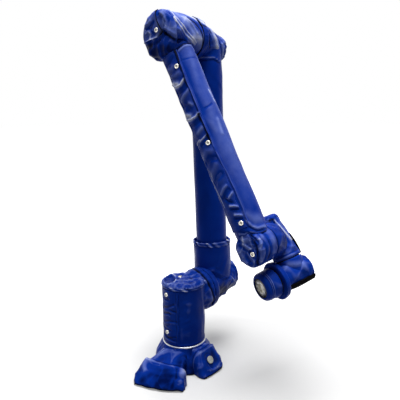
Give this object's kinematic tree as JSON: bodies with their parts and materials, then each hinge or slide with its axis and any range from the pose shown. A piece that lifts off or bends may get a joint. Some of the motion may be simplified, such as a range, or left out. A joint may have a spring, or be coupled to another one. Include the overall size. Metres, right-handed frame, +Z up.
{
  "type": "industrial robot arm in a fitted protective jacket",
  "caption": "Floor-mounted articulated robot arm with offset joints, dressed in a fitted coated-fabric jacket with snaps, cuffs and floor boots, and a bolted tool flange.",
  "frame": {"origin": "centre of the base flange's underside, on the floor at the turning axis of the base", "axes": "+Z up along the base axis; +X along the shoulder, elbow and first wrist axes; the forearm leans towards -Y"},
  "size_m": [0.4942, 0.5478, 1.2244],
  "materials": {
    "jacket": "glossy coated fabric",
    "base_metal": "satin",
    "bright_metal": "satin",
    "joint_ring": "matte",
    "snap_metal": "polished",
    "edge_tape": "woven tape",
    "flange_metal": "machined"
  },
  "bodies": {
    "base": {"base_housing": "base_metal", "base_ring": "bright_metal", "base_skirt": "jacket", "front_boot": "jacket", "side_boot": "jacket", "side_port": "bright_metal"},
    "shoulder": {"shoulder_cover": "jacket", "shoulder_cap": "jacket", "shoulder_cap_hem": "jacket", "shoulder_neck": "jacket", "shoulder_ring": "joint_ring", "shoulder_strip": "jacket", "shoulder_snaps": "snap_metal"},
    "upper_arm": {"shoulder_joint_band": "jacket", "shoulder_joint_cover": "jacket", "shoulder_joint_lid": "jacket", "upper_arm_cuff": "jacket", "upper_arm_cuff_hem": "jacket", "upper_arm_sleeve": "jacket", "elbow_far_band": "jacket", "elbow_far_cover": "jacket", "elbow_far_lid": "jacket"},
    "forearm": {"elbow_ring": "joint_ring", "elbow_cover": "jacket", "elbow_lid": "jacket", "forearm_sleeve": "jacket", "forearm_strip": "jacket", "forearm_snaps": "snap_metal", "forearm_neck": "jacket", "wrist_1_cover": "jacket", "wrist_1_lid": "jacket", "wrist_1_ring": "joint_ring"},
    "wrist_1": {"wrist_2_neck": "jacket", "wrist_2_cover": "jacket", "wrist_2_lid": "jacket", "wrist_2_ring": "joint_ring", "wrist_2_tape": "edge_tape"},
    "wrist_2": {"wrist_3_neck": "jacket", "wrist_3_cover": "jacket", "wrist_3_lid": "jacket", "wrist_3_cuff": "jacket", "wrist_3_ring": "joint_ring", "wrist_3_tape": "edge_tape"},
    "wrist_3": {"tool_flange": "flange_metal", "flange_sleeve": "jacket"}
  },
  "joints": [
    {"name": "base_turn", "type": "hinge", "parent": "base", "child": "shoulder", "pos_m": [0, 0, 0.09], "axis": [0, 0, 1], "range_deg": [-170, 170]},
    {"name": "shoulder_lift", "type": "hinge", "parent": "shoulder", "child": "upper_arm", "pos_m": [0.09, 0, 0.25], "axis": [-1, 0, 0], "range_deg": [-40, 80]},
    {"name": "elbow_bend", "type": "hinge", "parent": "upper_arm", "child": "forearm", "pos_m": [0.083, 0.03141, 1.14945], "axis": [-1, 0, 0], "range_deg": [-8, 150]},
    {"name": "wrist_bend", "type": "hinge", "parent": "forearm", "child": "wrist_1", "pos_m": [0.028, -0.31478, 0.50109], "axis": [1, 0, 0], "range_deg": [-100, 100]},
    {"name": "wrist_swing", "type": "hinge", "parent": "wrist_1", "child": "wrist_2", "pos_m": [0.117, -0.35378, 0.43354], "axis": [0, -0.5, -0.866], "range_deg": [-175, 175]},
    {"name": "flange_turn", "type": "hinge", "parent": "wrist_2", "child": "wrist_3", "pos_m": [0.04449, -0.3475, 0.3768], "axis": [-0.9063, 0.366, -0.2113], "range_deg": [-175, 175]}
  ]
}
